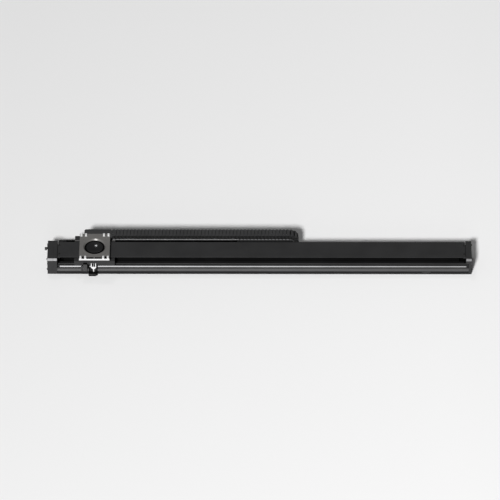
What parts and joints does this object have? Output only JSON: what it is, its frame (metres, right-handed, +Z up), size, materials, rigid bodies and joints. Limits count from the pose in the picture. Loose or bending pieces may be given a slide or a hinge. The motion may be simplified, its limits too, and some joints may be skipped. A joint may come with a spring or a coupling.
{
  "type": "direct-drive linear motor axis",
  "caption": "Covered linear motor axis: a slotted body with end blocks, a carriage plate that reaches round the top cover, and a cable chain behind that rolls as the carriage slides.",
  "frame": {"origin": "middle of the body's underside, on the surface it stands on", "axes": "+X along the stroke, away from the connector end; +Y towards the cable chain; +Z up"},
  "size_m": [1.669, 0.1777, 0.0965],
  "materials": {
    "black_anodised": "black anodised, satin",
    "black_sheet": "black powder coat",
    "grey_anodised": "grey anodised, satin",
    "bright_steel": "bright ground",
    "screw_steel": "black oxide",
    "head_anodised": "dark grey anodised",
    "guide_steel": "black chrome coating",
    "yoke_steel": "black phosphate",
    "magnet_epoxy": "black epoxy coating",
    "connector_metal": "nickel plated brass",
    "scale_tape": "bright steel tape",
    "rubber": "matte",
    "black_plastic": "matte black",
    "chain_plastic": "moulded black nylon",
    "gloss_black": "polished black",
    "coil_resin": "cast resin"
  },
  "bodies": {
    "base": {"base_profile": "black_anodised", "left_end_plate": "black_anodised", "right_end_plate": "black_anodised", "connection_housing": "black_anodised", "right_end_cap": "black_anodised", "left_cap_screws": "screw_steel", "right_cap_screws": "screw_steel", "connector_body": "connector_metal", "connector_insert": "black_plastic", "top_cover": "black_anodised", "cover_screws": "screw_steel", "front_rail": "guide_steel", "rear_rail": "guide_steel", "magnet_yoke": "yoke_steel", "front_magnets": "magnet_epoxy", "rear_magnets": "magnet_epoxy", "encoder_scale": "scale_tape", "left_bumper": "rubber", "right_bumper": "rubber", "limit_switches": "black_plastic", "chain_tray": "black_sheet", "tray_screws": "screw_steel", "tray_nuts": "screw_steel", "chain_fixed_end": "chain_plastic", "chain_lower_run": "chain_plastic"},
    "carriage": {"carriage_table": "black_anodised", "front_leg": "black_anodised", "rear_leg": "black_anodised", "leg_screws": "screw_steel", "top_plate": "grey_anodised", "locating_keys": "bright_steel", "bore_dish": "gloss_black", "coil_unit": "coil_resin", "read_head": "head_anodised", "head_screws": "screw_steel", "switch_flag": "bright_steel", "flag_screws": "bright_steel", "flag_holder": "black_plastic", "chain_bracket": "black_sheet", "chain_moving_end": "chain_plastic", "chain_upper_run": "chain_plastic", "front_left_guide_block": "guide_steel", "front_right_guide_block": "guide_steel", "rear_left_guide_block": "guide_steel", "rear_right_guide_block": "guide_steel"},
    "chain_bend_body": {"chain_bend": "chain_plastic"}
  },
  "joints": [
    {"name": "carriage_slide", "type": "slide", "parent": "base", "child": "carriage", "axis": [1, 0, 0], "range_m": [0, 1.3], "deforming": ["chain_upper_run"]},
    {"name": "chain_bend_slide", "type": "slide", "parent": "base", "child": "chain_bend_body", "axis": [1, 0, 0], "range_m": [0, 0.65], "deforming": ["chain_lower_run"]}
  ],
  "couplings": [
    {"joint": "chain_bend_slide", "follows": "carriage_slide", "ratio": 0.5}
  ]
}
